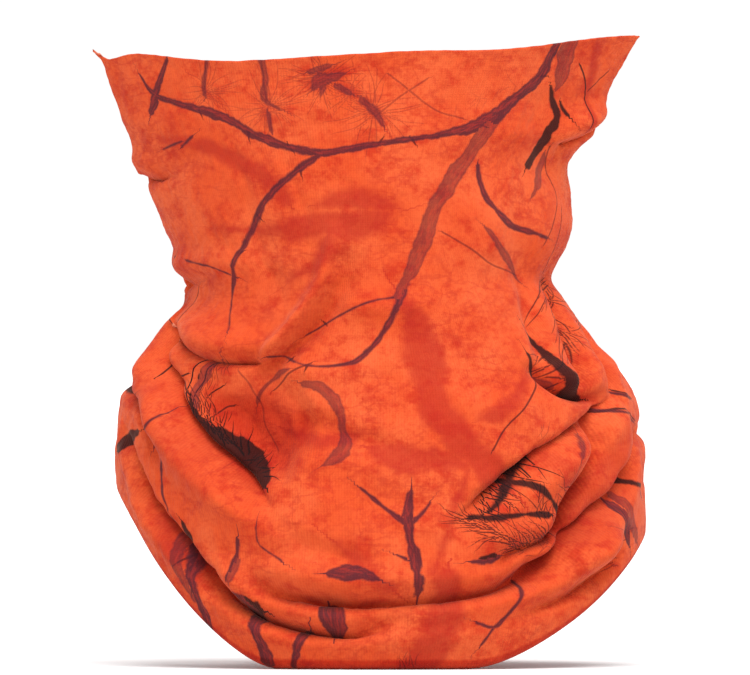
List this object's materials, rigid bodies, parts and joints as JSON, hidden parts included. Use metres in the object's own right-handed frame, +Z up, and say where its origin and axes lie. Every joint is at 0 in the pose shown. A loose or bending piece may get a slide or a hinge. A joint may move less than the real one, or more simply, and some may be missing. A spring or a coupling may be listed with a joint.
{
  "type": "neck gaiter",
  "caption": "Seamless jersey neck gaiter, drawn up over the face, with its lower half scrunched into soft collar folds and its face cover sliding down.",
  "frame": {"origin": "on the ground under the middle of the tube, at the centre of the overall box's base", "axes": "+Z up along the tube, -Y the way the wearer faces, +X to the right of somebody who looks at the wearer"},
  "size_m": [0.218, 0.1728, 0.252],
  "materials": {
    "printed_jersey": "matte knit with a woodland print"
  },
  "bodies": {
    "collar": {"bottom_edge_curl": "printed_jersey", "collar_fold_lower": "printed_jersey", "collar_fold_middle": "printed_jersey", "collar_fold_upper": "printed_jersey", "neck_gather": "printed_jersey", "cheek_section": "printed_jersey"},
    "face_cover": {"nose_band": "printed_jersey", "top_edge_curl": "printed_jersey"}
  },
  "joints": [
    {"name": "pull_down", "type": "slide", "parent": "collar", "child": "face_cover", "axis": [0, 0, -1], "range_m": [-0.015, 0.05], "deforming": ["cheek_section"]}
  ]
}
